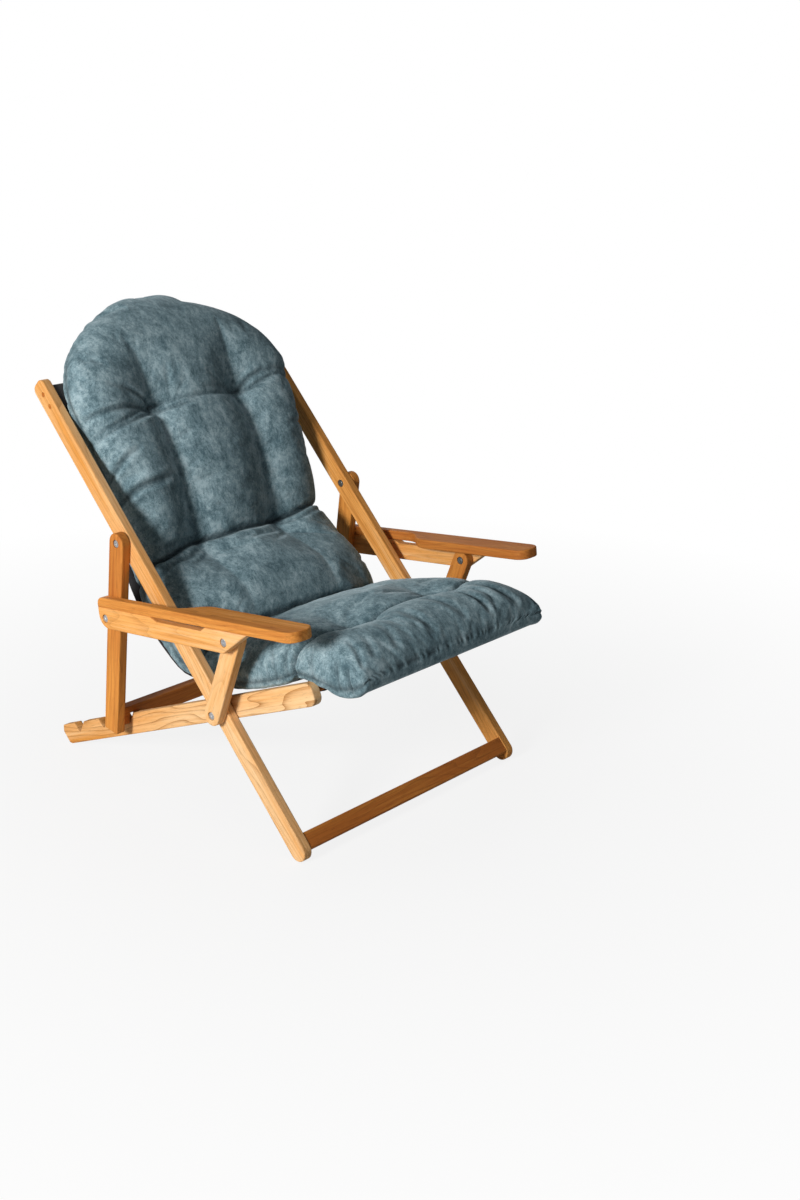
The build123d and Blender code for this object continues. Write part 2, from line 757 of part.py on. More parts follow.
def hem(frame, section, half_width):
    """The cloth sleeve round a crossbar."""
    (low, high), (bottom, top) = section
    with BuildPart() as sleeve:
        with BuildSketch(side_plane(0, frame)) as loop:
            with Locations(middle(section)):
                outer = cloth_clearance + cloth_thickness
                Rectangle(high - low + 2 * outer, top - bottom + 2 * outer)
                inner = 2 * cloth_clearance
                Rectangle(high - low + inner, top - bottom + inner, mode=Mode.SUBTRACT)
        extrude(amount=half_width, both=True)
    return sleeve.part


hang_rows = hang_stations[::-1] + seat_stations[: len(seat_shares) - 1]
top_join = (top_bar_low - hem_depth / 2, top_bar_rear + cloth_thickness)
seat_join = (seat_bar_rear + hem_depth / 2, seat_bar_top + hem_depth)
upper = [side_point(back_frame, *top_join)]
upper += [below(row, cloth_clearance) for row in hang_rows]
upper += [side_point(seat_frame, *seat_join)]
lower = [side_point(back_frame, top_join[0], top_join[1] - cloth_thickness)]
lower += [below(row, hem_depth) for row in hang_rows]
lower += [side_point(seat_frame, seat_join[0], seat_join[1] - cloth_thickness)]
with BuildPart() as sling:
    with BuildSketch(Plane.YZ):
        with BuildLine():
            Polyline(*upper, *reversed(lower), close=True)
        make_face()
    extrude(amount=clear_width / 2 - sling_side_gap, both=True)
    add(hem(back_frame, top_bar, layer_inner(1) - top_hem_end_gap))
    add(hem(seat_frame, seat_bar, layer_inner(0) - seat_hem_end_gap))
finish("sling", sling.part)
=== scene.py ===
"""Looks for the reclining folding armchair: camera, light, materials, sling and tufted mattress.

Lengths are metres where nothing else is said. The front is at -y, and the sitter's right hand is at -x.
"""

import math

import bmesh
import bpy
import numpy as np
from mathutils import Matrix, Vector


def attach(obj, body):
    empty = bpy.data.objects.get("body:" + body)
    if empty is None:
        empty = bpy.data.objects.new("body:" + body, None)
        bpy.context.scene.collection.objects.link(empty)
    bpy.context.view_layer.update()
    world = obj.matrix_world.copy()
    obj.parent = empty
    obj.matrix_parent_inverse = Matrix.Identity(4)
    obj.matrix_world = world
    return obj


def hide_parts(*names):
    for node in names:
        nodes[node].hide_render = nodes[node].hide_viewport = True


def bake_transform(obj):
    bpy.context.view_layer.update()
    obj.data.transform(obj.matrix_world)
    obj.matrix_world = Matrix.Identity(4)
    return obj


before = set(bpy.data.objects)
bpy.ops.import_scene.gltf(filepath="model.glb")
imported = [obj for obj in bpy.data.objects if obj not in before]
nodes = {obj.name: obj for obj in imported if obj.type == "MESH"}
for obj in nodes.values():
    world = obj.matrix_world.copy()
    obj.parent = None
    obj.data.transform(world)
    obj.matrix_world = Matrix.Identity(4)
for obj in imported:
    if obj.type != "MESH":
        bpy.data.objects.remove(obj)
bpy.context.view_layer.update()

# The main pivot as (y, z) and the angles of the planks, the same as in the CAD source
PIVOT = np.array((-0.12662, 0.241))
BACK = math.radians(46.9)
SLOPE = math.radians(22.4)
POST = BACK + math.radians(180 + 51.2)
STRUT = math.radians(111.788)
ARM = math.radians(-6.763)


def rail_point(along, up):
    """(y, z) of a point given in mm up the back rail from the main pivot, and in front of the rail."""
    along, up = along / 1000, up / 1000
    forward = along * math.cos(BACK) - up * math.sin(BACK)
    return PIVOT + (forward, along * math.sin(BACK) + up * math.cos(BACK))


def seat_point(rearward, up):
    """(y, z) of a point given in mm back along the seat rail from the main pivot, and above the rail."""
    rearward, up = rearward / 1000, up / 1000
    forward = rearward * math.cos(SLOPE) + up * math.sin(SLOPE)
    return PIVOT + (forward, -rearward * math.sin(SLOPE) + up * math.cos(SLOPE))


point_in = {"seat": seat_point, "rail": rail_point}


# Camera: where the photograph was taken from, looking along ahead
VIEW_AZIMUTH = math.radians(47.14)
VIEW_ELEVATION = math.radians(-19.57)
VIEW_PLACE = (-1.9795, -2.14617, 1.3932)
ahead = Vector((
    math.sin(VIEW_AZIMUTH) * math.cos(VIEW_ELEVATION),
    math.cos(VIEW_AZIMUTH) * math.cos(VIEW_ELEVATION),
    math.sin(VIEW_ELEVATION),
))
rightward = Vector((math.cos(VIEW_AZIMUTH), -math.sin(VIEW_AZIMUTH), 0))
upward = rightward.cross(ahead)
camera_data = bpy.data.cameras.new("camera")
camera_data.lens = 44.65
camera_data.sensor_width = 36
camera_data.clip_end = 200
camera = bpy.data.objects.new("camera", camera_data)
camera.matrix_world = Matrix((
    (rightward.x, upward.x, -ahead.x, VIEW_PLACE[0]),
    (rightward.y, upward.y, -ahead.y, VIEW_PLACE[1]),
    (rightward.z, upward.z, -ahead.z, VIEW_PLACE[2]),
    (0, 0, 0, 1),
))
bpy.context.collection.objects.link(camera)
bpy.context.scene.camera = camera


# Light: a strong key from the sitter's right, and weak lamps that open the shadows
def area_light(name, place, target, size, power, color=(1, 1, 1)):
    """A round lamp at a place that faces its target."""
    data = bpy.data.lights.new(name, "AREA")
    data.shape = "DISK"
    data.size = size
    data.energy = power
    data.color = color
    lamp = bpy.data.objects.new(name, data)
    lamp.location = place
    lamp.rotation_euler = (Vector(target) - Vector(place)).to_track_quat("-Z", "Y").to_euler()
    bpy.context.collection.objects.link(lamp)


SEAT_MIDDLE = (0, 0, 0.4)
area_light("key", (-4.6, -0.6, 2.15), (0, 0, 0.45), 1.2, 256, (1.0, 0.985, 0.96))
area_light("top", (-0.8, 0.4, 3.3), SEAT_MIDDLE, 1.6, 8)
area_light("fill", (0.6, -3.8, 1.5), SEAT_MIDDLE, 2.2, 6, (0.96, 0.98, 1.0))
area_light("rear", (2.2, 3.6, 2.2), SEAT_MIDDLE, 1.8, 26, (0.98, 0.99, 1.0))

# World: white to the camera, in reflections and through glass, and dim as a light
WORLD_LIGHT = 0.045
world = bpy.data.worlds.new("studio")
bpy.context.scene.world = world
world.use_nodes = True
sky = world.node_tree
sky_path = sky.nodes.new("ShaderNodeLightPath")
seen = sky_path.outputs["Is Camera Ray"]
for ray_kind in ("Is Glossy Ray", "Is Transmission Ray"):
    either = sky.nodes.new("ShaderNodeMath")
    either.operation = "MAXIMUM"
    sky.links.new(seen, either.inputs[0])
    sky.links.new(sky_path.outputs[ray_kind], either.inputs[1])
    seen = either.outputs[0]
sky_level = sky.nodes.new("ShaderNodeMapRange")
sky_level.inputs["To Min"].default_value = WORLD_LIGHT
sky_level.inputs["To Max"].default_value = 1.0
sky.links.new(seen, sky_level.inputs["Value"])
sky.links.new(sky_level.outputs["Result"], sky.nodes["Background"].inputs["Strength"])
sky.nodes["Background"].inputs["Color"].default_value = (1, 1, 1, 1)
bpy.context.scene.view_settings.view_transform = "Standard"


# Materials
class Tree:
    """A material's nodes, made and linked in short calls."""

    def __init__(self, name):
        self.material = bpy.data.materials.new(name)
        self.material.use_nodes = True
        self.nodes = self.material.node_tree.nodes
        self.links = self.material.node_tree.links
        self.shader = self.nodes["Principled BSDF"]
        self.coords = self.nodes.new("ShaderNodeTexCoord").outputs["Object"]

    def set(self, socket, value):
        """Link a socket to another, or give it a value."""
        if isinstance(value, bpy.types.NodeSocket):
            self.links.new(value, socket)
        else:
            socket.default_value = value

    def math(self, kind, first, second=0.0):
        node = self.nodes.new("ShaderNodeMath")
        node.operation = kind
        self.set(node.inputs[0], first)
        self.set(node.inputs[1], second)
        return node.outputs[0]

    def sum(self, *parts):
        """The sum of (value, share) pairs, each value times its share."""
        total = None
        for value, share in parts:
            part = self.math("MULTIPLY", value, share)
            total = part if total is None else self.math("ADD", total, part)
        return total

    def mapping(self, vector, rotation=(0, 0, 0), scale=(1, 1, 1), location=(0, 0, 0)):
        node = self.nodes.new("ShaderNodeMapping")
        self.set(node.inputs["Vector"], vector)
        node.inputs["Rotation"].default_value = rotation
        node.inputs["Scale"].default_value = scale
        node.inputs["Location"].default_value = location
        return node.outputs[0]

    def noise(self, vector, scale, detail, rough, distortion=0.0):
        node = self.nodes.new("ShaderNodeTexNoise")
        self.set(node.inputs["Vector"], vector)
        node.inputs["Scale"].default_value = scale
        node.inputs["Detail"].default_value = detail
        node.inputs["Roughness"].default_value = rough
        node.inputs["Distortion"].default_value = distortion
        return node.outputs["Fac"]

    def wave(self, vector, scale, distortion):
        node = self.nodes.new("ShaderNodeTexWave")
        self.set(node.inputs["Vector"], vector)
        node.inputs["Scale"].default_value = scale
        node.inputs["Distortion"].default_value = distortion
        node.inputs["Detail"].default_value = 1
        node.inputs["Detail Scale"].default_value = 1
        return node.outputs["Fac"]

    def ramp(self, value, stops):
        """A color that runs through stops of (place, color)."""
        node = self.nodes.new("ShaderNodeValToRGB")
        self.set(node.inputs["Fac"], value)
        points = node.color_ramp.elements
        while len(points) < len(stops):
            points.new(0.5)
        for point, (place, color) in zip(points, stops):
            point.position = place
            point.color = (*color, 1)
        return node.outputs["Color"]

    def level(self, value, low, high, to_low=0.0, to_high=1.0):
        """A value taken from one range to another, and held within it."""
        node = self.nodes.new("ShaderNodeMapRange")
        self.set(node.inputs["Value"], value)
        node.inputs["From Min"].default_value = low
        node.inputs["From Max"].default_value = high
        node.inputs["To Min"].default_value = to_low
        node.inputs["To Max"].default_value = to_high
        return node.outputs["Result"]

    def mix(self, factor, under, over):
        """A color over another, as far as the factor says."""
        node = self.nodes.new("ShaderNodeMix")
        node.data_type = "RGBA"
        color_inputs = {socket.name: socket for socket in node.inputs if socket.type == "RGBA"}
        color_outputs = [socket for socket in node.outputs if socket.type == "RGBA"]
        self.set(node.inputs["Factor"], factor)
        self.set(color_inputs["A"], under)
        self.set(color_inputs["B"], over)
        return color_outputs[0]

    def bump(self, height, strength, distance, normal=None):
        node = self.nodes.new("ShaderNodeBump")
        self.set(node.inputs["Height"], height)
        node.inputs["Strength"].default_value = strength
        node.inputs["Distance"].default_value = distance
        if normal is not None:
            self.links.new(normal, node.inputs["Normal"])
        return node.outputs["Normal"]


PALE_STRAW = (0.81, 0.56, 0.31)
HONEY = (0.77, 0.335, 0.068)
DEEP_BROWN = (0.45, 0.140, 0.024)
PORE = (0.10, 0.030, 0.008, 1)
EDGE_ROUND = 0.0018


def oak_tone(tan, shade=1.0):
    """Oiled oak from 0, pale straw, over 0.5, honey, to 1, deep brown."""
    tan = min(max(tan, 0.0), 1.0) * 2
    lighter, deeper = (PALE_STRAW, HONEY) if tan < 1 else (HONEY, DEEP_BROWN)
    share = tan if tan < 1 else tan - 1
    return tuple((start + (end - start) * share) * shade for start, end in zip(lighter, deeper))


def wood(name, angle, seed, tan, figure, rings, drift=0.0):
    """Oiled oak with growth rings, streaks and pores.

    angle is the grain's in the plane of the sides, or None for a bar across the chair. tan is the tone,
    figure is how dark the growth rings show, and rings is how many of them cross a metre of the plank's
    height. drift is how far the tone moves along its ramp in each metre from front to back.
    """
    tree = Tree(name)
    turn = (0.35, 0, math.pi / 2) if angle is None else (-angle, 0, 0)
    along = tree.mapping(tree.coords, rotation=turn)
    place = (seed * 0.731, seed * 1.37, seed * 0.419)

    def grain(across, lengthwise, detail, rough):
        """Noise drawn out along the grain, given as its scales across the grain and along it."""
        drawn = tree.mapping(along, scale=(across, lengthwise, across), location=place)
        return tree.noise(drawn, 1.0, detail, rough)

    wander = grain(13, 2.1, 2, 0.45)
    streaks = grain(620, 13, 4, 0.62)
    bands = grain(150, 3.0, 3, 0.55)
    pores = grain(1500, 42, 2, 0.5)
    cloudy = grain(22, 2.6, 3, 0.55)
    across = tree.nodes.new("ShaderNodeVectorMath")
    across.operation = "DOT_PRODUCT"
    tree.links.new(along, across.inputs[0])
    across.inputs[1].default_value = (0.55 * rings, 0, rings)
    ring = tree.math("ADD", tree.math("MULTIPLY", wander, 13.0), across.outputs["Value"])
    late_wood = tree.math("POWER", tree.math("FRACT", ring), 5.0)
    axes = tree.nodes.new("ShaderNodeSeparateXYZ")
    tree.links.new(tree.coords, axes.inputs[0])
    body = tree.sum((cloudy, 0.6), (bands, 0.4), (axes.outputs["Y"], drift))
    base = tree.ramp(body, [
        (0.32, oak_tone(tan - 0.28)),
        (0.50, oak_tone(tan)),
        (0.68, oak_tone(tan + 0.34, 0.94)),
    ])
    line_color = (*oak_tone(tan + 0.45, 0.52), 1)
    ring_strength = tree.math("MULTIPLY", late_wood, tree.level(streaks, 0.30, 0.62, 0.5 * figure, figure))
    ringed = tree.mix(ring_strength, base, line_color)
    streaked = tree.mix(tree.level(streaks, 0.52, 0.76, 0.0, 0.42), ringed, line_color)
    open_pores = tree.level(pores, 0.60, 0.72, 0.0, 0.45)
    tree.links.new(tree.mix(open_pores, streaked, PORE), tree.shader.inputs["Base Color"])
    tree.set(tree.shader.inputs["Roughness"], tree.level(streaks, 0.3, 0.7, 0.58, 0.74))
    tree.shader.inputs["Specular IOR Level"].default_value = 0.18
    height = tree.math("SUBTRACT", tree.math("MULTIPLY", streaks, 0.6), open_pores)
    eased_edge = tree.nodes.new("ShaderNodeBevel")
    eased_edge.samples = 4
    eased_edge.inputs["Radius"].default_value = EDGE_ROUND
    grained = tree.bump(height, strength=0.30, distance=0.0004, normal=eased_edge.outputs["Normal"])
    tree.links.new(grained, tree.shader.inputs["Normal"])
    return tree.material


def shaded(color, shade):
    return tuple(channel * shade for channel in color)


def velour(name, shade=1.0):
    """Brushed slate blue velour: soft patches where the nap lies the other way, dark flecks and fine fibre.

    It is darker where a mesh attribute says so: painted shade in the stitches, folds, seam and deepest
    hollows.
    """
    tree = Tree(name)
    swept = tree.mapping(tree.coords, scale=(1, 0.7, 0.7))
    brushed = tree.mapping(tree.coords, scale=(1, 0.4, 0.4))
    broad = tree.noise(tree.coords, 6, 3, 0.55, 0.3)
    patch = tree.noise(tree.mapping(swept, location=(3.1, 1.7, 0.4)), 30, 6, 0.90, 0.2)
    fleck = tree.noise(tree.mapping(swept, location=(0.7, 2.9, 5.1)), 150, 4, 0.80, 0.2)
    grit = tree.noise(tree.mapping(swept, location=(5.2, 0.3, 1.9)), 430, 2, 0.7)
    fibre = tree.noise(brushed, 850, 2, 0.6)
    nap = tree.ramp(tree.sum((patch, 0.78), (broad, 0.12), (grit, 0.10)), [
        (0.40, shaded((0.072, 0.127, 0.152), shade)),
        (0.50, shaded((0.168, 0.257, 0.294), shade)),
        (0.60, shaded((0.330, 0.442, 0.486), shade)),
    ])
    fleck_color = (*shaded((0.050, 0.093, 0.113), shade), 1)
    crossed = tree.math("SUBTRACT", fleck, tree.math("MULTIPLY", patch, 0.5))
    flecked = tree.mix(tree.level(crossed, 0.25, 0.40, 0.0, 0.45), nap, fleck_color)
    # Painted shade: the colour goes towards near black where the cloth is stitched, folded, seamed or deepest
    tucked = tree.nodes.new("ShaderNodeAttribute")
    tucked.attribute_name = "tucked"
    shadow = tree.math("MULTIPLY", tucked.outputs["Fac"], 0.85)
    color = tree.mix(shadow, flecked, (0.010, 0.018, 0.023, 1))
    tree.links.new(color, tree.shader.inputs["Base Color"])
    tree.shader.inputs["Roughness"].default_value = 0.9
    tree.shader.inputs["Sheen Weight"].default_value = 0.32
    tree.shader.inputs["Sheen Roughness"].default_value = 0.45
    tree.shader.inputs["Sheen Tint"].default_value = (0.62, 0.76, 0.82, 1)
    tree.shader.inputs["Specular IOR Level"].default_value = 0.15
    pile = tree.bump(tree.sum((fibre, 0.45), (fleck, 0.55)), strength=0.30, distance=0.0012)
    tree.links.new(pile, tree.shader.inputs["Normal"])
    return tree.material


def black_cloth(name):
    """Black plain weave."""
    tree = Tree(name)
    across = tree.mapping(tree.coords, scale=(900, 1, 1))
    along = tree.mapping(tree.coords, rotation=(0, 0, math.pi / 2), scale=(1, 900, 900))
    weave = tree.math("MULTIPLY", tree.wave(across, 0.32, 0.4), tree.wave(along, 0.32, 0.4))
    dust = tree.noise(tree.coords, 60, 4, 0.6)
    color = tree.ramp(tree.sum((weave, 0.5), (dust, 0.4)), [
        (0.2, (0.006, 0.006, 0.007)),
        (0.8, (0.028, 0.028, 0.031)),
    ])
    tree.links.new(color, tree.shader.inputs["Base Color"])
    tree.shader.inputs["Roughness"].default_value = 0.86
    tree.shader.inputs["Sheen Weight"].default_value = 0.12
    tree.links.new(tree.bump(weave, strength=0.3, distance=0.0003), tree.shader.inputs["Normal"])
    return tree.material


def metal(name):
    """Satin zinc with fine turned marks and a little dulling."""
    tree = Tree(name)
    marks = tree.noise(tree.coords, 700, 3, 0.6)
    dull = tree.noise(tree.coords, 90, 3, 0.6)
    color = tree.ramp(dull, [(0.35, (0.62, 0.63, 0.65)), (0.7, (0.86, 0.87, 0.88))])
    tree.links.new(color, tree.shader.inputs["Base Color"])
    tree.shader.inputs["Metallic"].default_value = 1.0
    tree.set(tree.shader.inputs["Roughness"], tree.level(marks, 0.3, 0.7, 0.22, 0.38))
    tree.links.new(tree.bump(marks, strength=0.12, distance=0.0002), tree.shader.inputs["Normal"])
    return tree.material


def dress(name, material):
    """Give a CAD node its material."""
    mesh = nodes[name].data
    mesh.materials.clear()
    mesh.materials.append(material)


# The angle of the grain in each kind of plank, and None in a bar across the chair
grain_angles = {
    "seat_rail": -SLOPE,
    "back_rail": BACK,
    "prop_post": POST,
    "arm_strut": STRUT,
    "arm_plate": ARM,
    "arm_board": ARM,
    "seat_crossbar": None,
    "top_crossbar": None,
    "foot_crossbar": None,
    "prop_crossbar": None,
}
# Tone, figure, rings in a metre and, where the tone drifts, its drift. An entry for one side goes before
# the entry for its kind.
# The _left entries are deeper in tone than their kinds: painted shade on the side away from the key
plank_looks = {
    "seat_rail": (0.26, 1.0, 22, 0.36),
    "back_rail": (0.26, 0.60, 120),
    "back_rail_left": (0.46, 0.60, 120),
    "arm_strut": (0.17, 0.30, 60),
    "arm_strut_left": (0.75, 0.40, 60),
    "arm_plate": (0.42, 0.35, 50, 0.50),
    "arm_board": (0.70, 0.50, 110),
    "arm_board_left": (0.95, 0.60, 110),
    "prop_post": (0.80, 0.50, 90),
}
# The crossbars' deep brown is partly their own tone and partly painted shade
crossbar_look = (1.0, 0.6, 90)
soft_nodes = ("sling", "seat_cushion", "back_cushion", "seat_cushion_buttons", "back_cushion_buttons")
steel = metal("steel")
dowel_wood = wood("dowel_wood", angle=None, seed=40, tan=1.0, figure=0.4, rings=90)
for index, name in enumerate(sorted(nodes)):
    kind = name.replace("_right", "").replace("_left", "")
    if kind in grain_angles:
        plank_look = plank_looks.get(name, plank_looks.get(kind, crossbar_look))
        dress(name, wood(f"wood_{name}", grain_angles[kind], index * 1.7 + 0.3, *plank_look))
    elif "dowels" in name or "plugs" in name:
        dress(name, dowel_wood)
    elif name not in soft_nodes:
        dress(name, steel)

cushion_cloth = velour("cushion_cloth")
# The buttons' velour at 0.45 of its colours: painted shade at the bottom of the tufts
seam_cloth = velour("seam_cloth", 0.45)
sling_cloth = black_cloth("sling_cloth")


# Mesh helpers
def place_object(name, shape, material, smooth=True):
    """Turn a bmesh into an object at the origin."""
    mesh = bpy.data.meshes.new(name)
    shape.to_mesh(mesh)
    shape.free()
    for polygon in mesh.polygons:
        polygon.use_smooth = smooth
    mesh.materials.append(material)
    made = bpy.data.objects.new(name, mesh)
    bpy.context.collection.objects.link(made)
    return made


def cloth_grid(shape, places):
    """A grid of quads whose vertices go to places, an array of rows by columns by xyz.

    Returns the vertices in the same rows and columns.
    """
    rows, columns = places.shape[:2]
    made = bmesh.ops.create_grid(shape, x_segments=columns - 1, y_segments=rows - 1, size=1)["verts"]
    ordered = [[None] * columns for _ in range(rows)]
    for vert in made:
        row = round((vert.co.y + 1) / 2 * (rows - 1))
        column = round((vert.co.x + 1) / 2 * (columns - 1))
        ordered[row][column] = vert
    for row in range(rows):
        for column in range(columns):
            ordered[row][column].co = places[row, column]
    return ordered


def read_points(mesh):
    points = np.empty(len(mesh.vertices) * 3)
    mesh.vertices.foreach_get("co", points)
    return points.reshape(-1, 3)


def read_normals(mesh):
    normals = np.empty(len(mesh.vertices) * 3)
    mesh.vertex_normals.foreach_get("vector", normals)
    return normals.reshape(-1, 3)


def write_points(mesh, points):
    mesh.vertices.foreach_set("co", np.ascontiguousarray(points, dtype=np.float32).ravel())
    mesh.update()


def take_layer(mesh, name):
    """Read a layer of one number for each vertex, and remove it from the mesh."""
    layer = mesh.attributes[name]
    values = np.empty(len(mesh.vertices))
    layer.data.foreach_get("value", values)
    mesh.attributes.remove(layer)
    return values


# Curves and noise
def smooth_curve(values, knots, at):
    """A smooth curve through rows of values at their knots, read at other places."""
    values = np.asarray(values, float)
    knots = np.asarray(knots, float)
    slopes = np.gradient(values, knots, axis=0)
    span = np.clip(np.searchsorted(knots, at, side="right") - 1, 0, len(knots) - 2)
    width = (knots[span + 1] - knots[span])[:, None]
    t = ((at - knots[span])[:, None]) / width
    start = (2 * t**3 - 3 * t**2 + 1) * values[span] + (t**3 - 2 * t**2 + t) * width * slopes[span]
    return start + (-2 * t**3 + 3 * t**2) * values[span + 1] + (t**3 - t**2) * width * slopes[span + 1]


def hash_noise(x, y, seed):
    """Smooth noise on two coordinates, from -1 to 1, the same on each run."""
    def corner(column, row):
        scattered = np.sin(column * 127.1 + row * 311.7 + seed * 74.7) * 43758.5453
        return 2 * (scattered - np.floor(scattered)) - 1

    column, row = np.floor(x), np.floor(y)
    share_x, share_y = x - column, y - row
    share_x = share_x * share_x * (3 - 2 * share_x)
    share_y = share_y * share_y * (3 - 2 * share_y)
    low = corner(column, row) * (1 - share_x) + corner(column + 1, row) * share_x
    high = corner(column, row + 1) * (1 - share_x) + corner(column + 1, row + 1) * share_x
    return low * (1 - share_y) + high * share_y


# Mattress: one padded form over seat and back. Each station is its frame, its lower and its upper point in
# that frame and its half width, in mm. The stations run from the front edge of the seat to the head.
stations = [
    ("seat", (-364, 3), (-366, 8), 244),
    ("seat", (-360, -8), (-365, 27), 253),
    ("seat", (-343, -18), (-347, 62), 264),
    ("seat", (-300, -14), (-303, 96), 271),
    ("seat", (-262, 10), (-258, 108), 274),
    ("seat", (-225, 27.5), (-222, 116), 278),
    ("seat", (-160, 27.5), (-160, 118), 280),
    ("seat", (-67, 30.0), (-75, 123), 280),
    ("seat", (12, 41.5), (-4, 124), 278),
    ("seat", (84, 59.5), (50, 119), 275),
    ("rail", (138, -103), (190, 6), 272),
    ("rail", (200, -119), (232, 6), 270),
    ("rail", (256, -126.5), (272, -3), 267),
    ("rail", (320, -121), (330, -12), 264),
    ("rail", (372, -107.5), (376, -4), 260),
    ("rail", (430, -84), (434, 14), 260),
    ("rail", (510, -51), (511, 45), 264),
    ("rail", (590, -22), (588, 71), 272),
    ("rail", (645, -6.5), (643, 86), 279),
    ("rail", (697, 16.5), (695, 97), 285),
    ("rail", (760, 17), (762, 106), 276),
    ("rail", (820, 15.5), (824, 99), 222),
    ("rail", (862, 18), (867, 82), 158),
    ("rail", (893, 23), (899, 64), 100),
    ("rail", (904, 33), (906, 44), 56),
]
# Numbers of stations in that list: the last one on the seat, the high tufts and the widest part of the head
LAST_SEAT = 9
HIGH_TUFTS = 18
HEAD = 19
ROWS, COLUMNS = 281, 125
lower = np.array([point_in[name](*low) for name, low, _, _ in stations])
upper = np.array([point_in[name](*high) for name, _, high, _ in stations])
halves = np.array([half / 1000 for *_, half in stations])
gaps = np.linalg.norm(np.diff(lower, axis=0), axis=1) + np.linalg.norm(np.diff(upper, axis=0), axis=1)
knots = np.concatenate([[0], np.cumsum(gaps / 2)])
run = np.linspace(0, knots[-1], ROWS)
low_row = smooth_curve(lower, knots, run)
high_row = smooth_curve(upper, knots, run)
height = np.linalg.norm(high_row - low_row, axis=1)
rise = (high_row - low_row) / height[:, None]

# The head is a full arch, and its middle lies a little to the right
HEAD_HALF = 0.283
half_row = smooth_curve(halves[:, None], knots, run)[:, 0]
past_head = run > knots[HEAD]
head_share = (run[past_head] - knots[HEAD]) / (knots[-1] - knots[HEAD] + 0.0015)
half_row[past_head] = HEAD_HALF * np.clip(1 - head_share**1.55, 0.02, 1) ** 0.64
middle_row = np.interp(run, [knots[16], knots[HEAD], knots[21], knots[-1]], [0, -0.005, -0.011, -0.006])

# Section: flat in the middle and rolled over at the sides down to the seam, and the same form inverted
# below it. The seam's height is a share of the whole, and the crown is how far the sides sink, as a share of
# the height above the seam.
seam_share = np.interp(run, [0, knots[4], knots[9], knots[11], knots[-1]], [0.20, 0.13, 0.13, 0.27, 0.27])
crown_share = np.interp(run, [0, knots[7], knots[11], knots[-1]], [0.15, 0.15, 0.19, 0.19])
roll_knots = knots[[0, 4, 7, 10, 18, 24]]
right_roll = np.interp(run, roll_knots, [0.062, 0.056, 0.050, 0.052, 0.062, 0.088])
left_roll = np.interp(run, roll_knots, [0.125, 0.125, 0.095, 0.060, 0.064, 0.090])
column_side = np.sign(np.linspace(-1, 1, COLUMNS))[None, :]
top_roll = np.where(column_side < 0, right_roll[:, None], left_roll[:, None])
under_roll = np.full((ROWS, COLUMNS), 0.017)


def section(roll, tall):
    """The half section above or below the seam.

    Returns for each row and column its x, its share of the half's height, how far the surface has turned
    over and its distance over the cloth from the middle. The powers make the roll fuller than a round one.
    """
    roll = np.minimum(roll, 0.6 * half_row[:, None])
    flat = half_row[:, None] - roll
    corner = math.pi / 2 * np.sqrt((roll**2 + tall[:, None] ** 2) / 2)
    reach = np.abs(np.linspace(-1, 1, COLUMNS))[None, :] * (flat + corner)
    turn = np.clip((reach - flat) / corner, 0, 1) * math.pi / 2
    x = column_side * (np.minimum(reach, flat) + roll * np.sin(turn) ** 0.9)
    return x, np.cos(turn) ** 0.8, turn, reach


# How far the underside of the seat hangs down near its sides, and from where
DROOP = 0.0022
DROOP_FROM = 0.235
top_tall = height * (1 - seam_share)
under_tall = height * seam_share
x_top, full_top, turn_top, reach_top = section(top_roll, top_tall)
x_under, full_under, turn_under, reach_under = section(under_roll, under_tall)
crown = 1 - crown_share[:, None] * (x_top / half_row[:, None]) ** 2
rise_top = under_tall[:, None] + top_tall[:, None] * full_top * crown
on_seat = (run < knots[8])[:, None]
droop = DROOP * np.clip((np.abs(x_under) - DROOP_FROM) / 0.02, 0, 1) * on_seat
rise_under = under_tall[:, None] * (1 - full_under) - droop * full_under
side_reach = np.where(column_side < 0, reach_top[:, :1], reach_top[:, -1:])
past_side = reach_under[:, -1:] - reach_under
along_grid = np.repeat(run[:, None], COLUMNS, axis=1)
across_top = column_side * reach_top
across_under = column_side * (side_reach + past_side)


# What is sewn: valleys that follow lines over the cloth
def along_at(frame_name, along):
    """Distance along the mattress of a place on its top, given in mm along the seat rail or the back rail."""
    origin = point_in[frame_name](0, 0)
    step = point_in[frame_name](1000, 0) - origin
    reached = (high_row - origin) @ step * 1000
    on_back = run > knots[LAST_SEAT]
    reached = np.where(on_back == (frame_name == "rail"), reached, 1e6)
    return run[np.argmin(np.abs(reached - along))]


def lobed(share):
    """A valley where two full lobes meet: 1 at its line, steep beside it, and 0 at its width."""
    return 1 - (1 - (1 - np.clip(share, 0, 1)) ** 2.2) ** 0.62


def puffed(share):
    """The wide hollow round a line, which rounds the cushion's lobes."""
    return (1 - np.clip(share, 0, 1)) ** 2


def pleated(share):
    """A narrow fold with a low ridge on each side."""
    return np.exp(-(share**2)) - 0.32 * np.exp(-((share - 2.1) ** 2))


def line_valley(line, width, profile, along, across, smooth=8):
    """Depth over the cloth of a valley that follows a line of (frame, along, across, depth) points, in mm.

    along and across are the places on the cloth, and smooth is how many straight steps join two points.
    """
    points = np.array([
        (along_at(name, place), aside / 1000, deep / 1000) for name, place, aside, deep in line
    ])
    knot = np.concatenate([[0], np.cumsum(np.linalg.norm(np.diff(points[:, :2], axis=0), axis=1))])
    fine = smooth_curve(points, knot, np.linspace(0, knot[-1], smooth * (len(line) - 1) + 1))
    nearest = np.full(along.shape, 1e3)
    depth = np.zeros(along.shape)
    for start, end in zip(fine[:-1], fine[1:]):
        start_along, start_across, start_depth = start
        step_along, step_across, step_depth = end - start
        length_squared = step_along * step_along + step_across * step_across + 1e-12
        from_along, from_across = along - start_along, across - start_across
        share = np.clip((from_along * step_along + from_across * step_across) / length_squared, 0, 1)
        away = np.hypot(from_along - share * step_along, from_across - share * step_across)
        nearer = away < nearest
        nearest = np.where(nearer, away, nearest)
        depth = np.where(nearer, start_depth + step_depth * share, depth)
    return np.maximum(depth, 0) * profile(nearest / (width / 1000))


